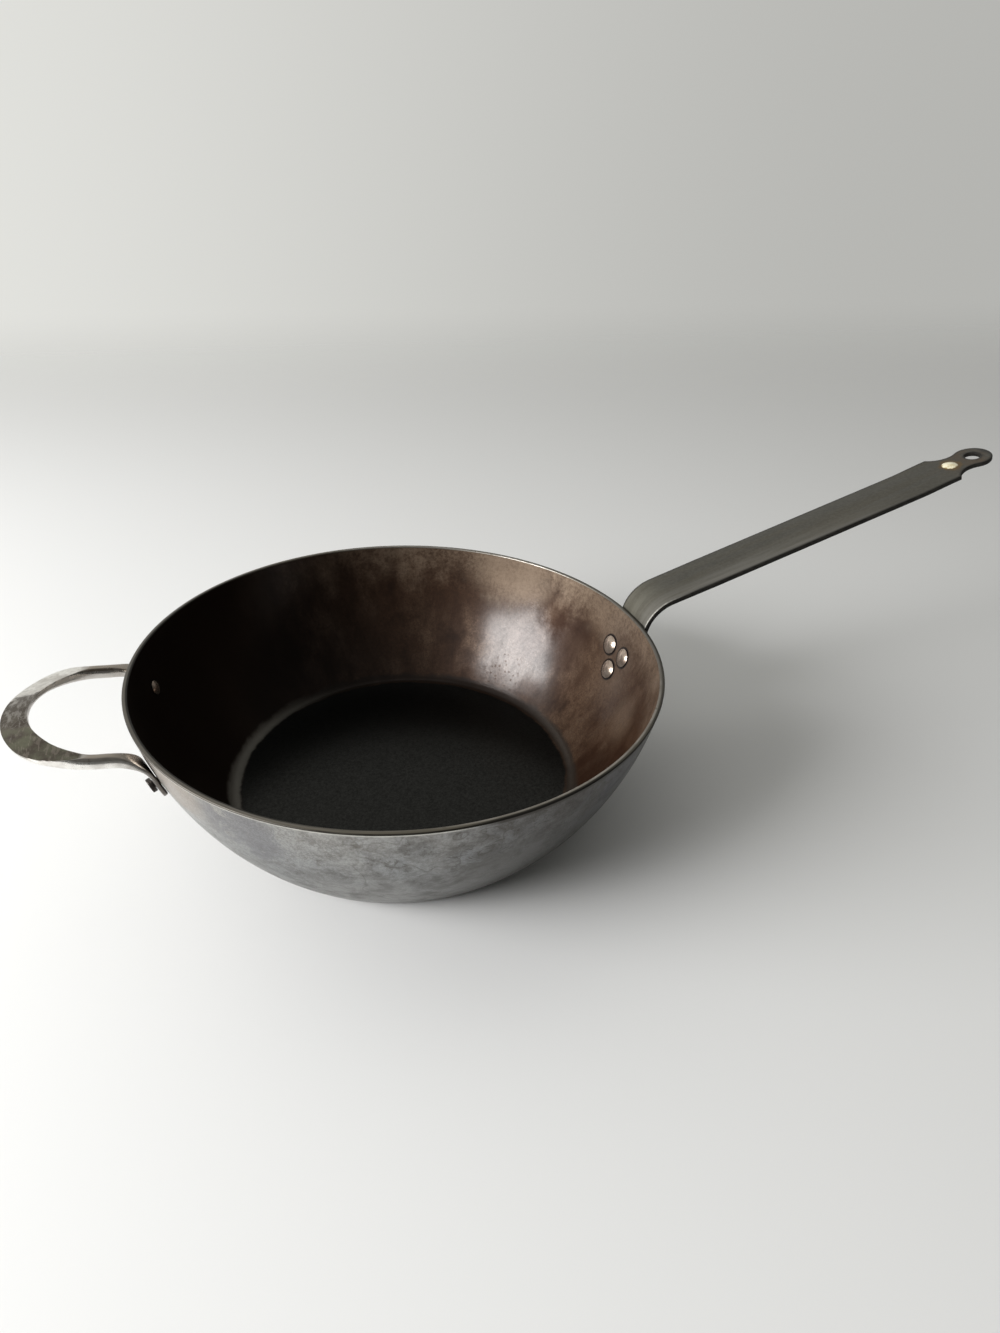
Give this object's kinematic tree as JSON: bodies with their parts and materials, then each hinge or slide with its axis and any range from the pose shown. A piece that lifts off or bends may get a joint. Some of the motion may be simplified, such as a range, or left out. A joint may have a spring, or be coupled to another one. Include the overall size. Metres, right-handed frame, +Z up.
{
  "type": "frying pan",
  "caption": "Deep carbon steel frying pan with a curved wall, a long riveted strip handle with a hanging hole, and a forged helper handle across from it.",
  "frame": {"origin": "centre of the underside, on the surface that the pan stands on", "axes": "+Z up out of the bowl, +X along the long handle, +Y to the left of someone who looks along +X"},
  "size_m": [0.6505, 0.32, 0.1922],
  "materials": {
    "seasoned_steel": "seasoned, brown-black inside and heat-tinted grey outside",
    "coated_strip_steel": "dark olive-grey baked coat, satin",
    "rivet_steel": "polished by wear",
    "forged_steel": "forged, worn bright on the edges, brown-grey on the flat",
    "cream_enamel": "glossy cream enamel"
  },
  "bodies": {
    "root": {"pan_body": "seasoned_steel", "long_handle": "coated_strip_steel", "handle_rivet_left": "rivet_steel", "handle_rivet_right": "rivet_steel", "handle_rivet_lower": "rivet_steel", "helper_handle": "forged_steel", "helper_rivet_left": "rivet_steel", "helper_rivet_right": "rivet_steel", "handle_button": "cream_enamel"}
  },
  "joints": []
}
